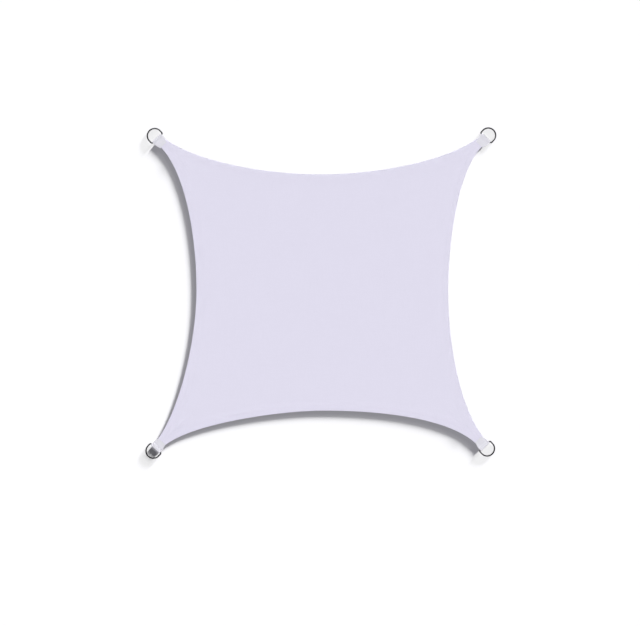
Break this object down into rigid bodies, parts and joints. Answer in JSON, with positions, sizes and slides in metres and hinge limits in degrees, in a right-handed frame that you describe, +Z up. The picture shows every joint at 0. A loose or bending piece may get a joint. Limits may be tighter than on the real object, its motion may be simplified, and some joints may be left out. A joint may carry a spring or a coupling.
{
  "type": "shade sail",
  "caption": "Lavender 2 m shade sail with four hollow sides, a turned hem, folded corner tabs and steel D-rings, laid out flat.",
  "frame": {"origin": "middle of the bounding box, on the ground that the sail lies on", "axes": "+X towards the sail's right side and +Y towards its upper side, as the picture shows them; +Z up, out of the cloth's upper face"},
  "size_m": [2.1049, 1.9889, 0.0134],
  "materials": {
    "shade_cloth": "matt knitted shade cloth, lavender",
    "tab_strip": "woven strip, lavender",
    "ring_steel": "polished and lightly brushed"
  },
  "bodies": {
    "root": {"sail_panel": "shade_cloth", "tab_upper_left": "tab_strip", "tab_upper_right": "tab_strip", "tab_lower_right": "tab_strip", "tab_lower_left": "tab_strip", "ring_upper_left": "ring_steel", "ring_upper_right": "ring_steel", "ring_lower_right": "ring_steel", "ring_lower_left": "ring_steel"}
  },
  "joints": []
}
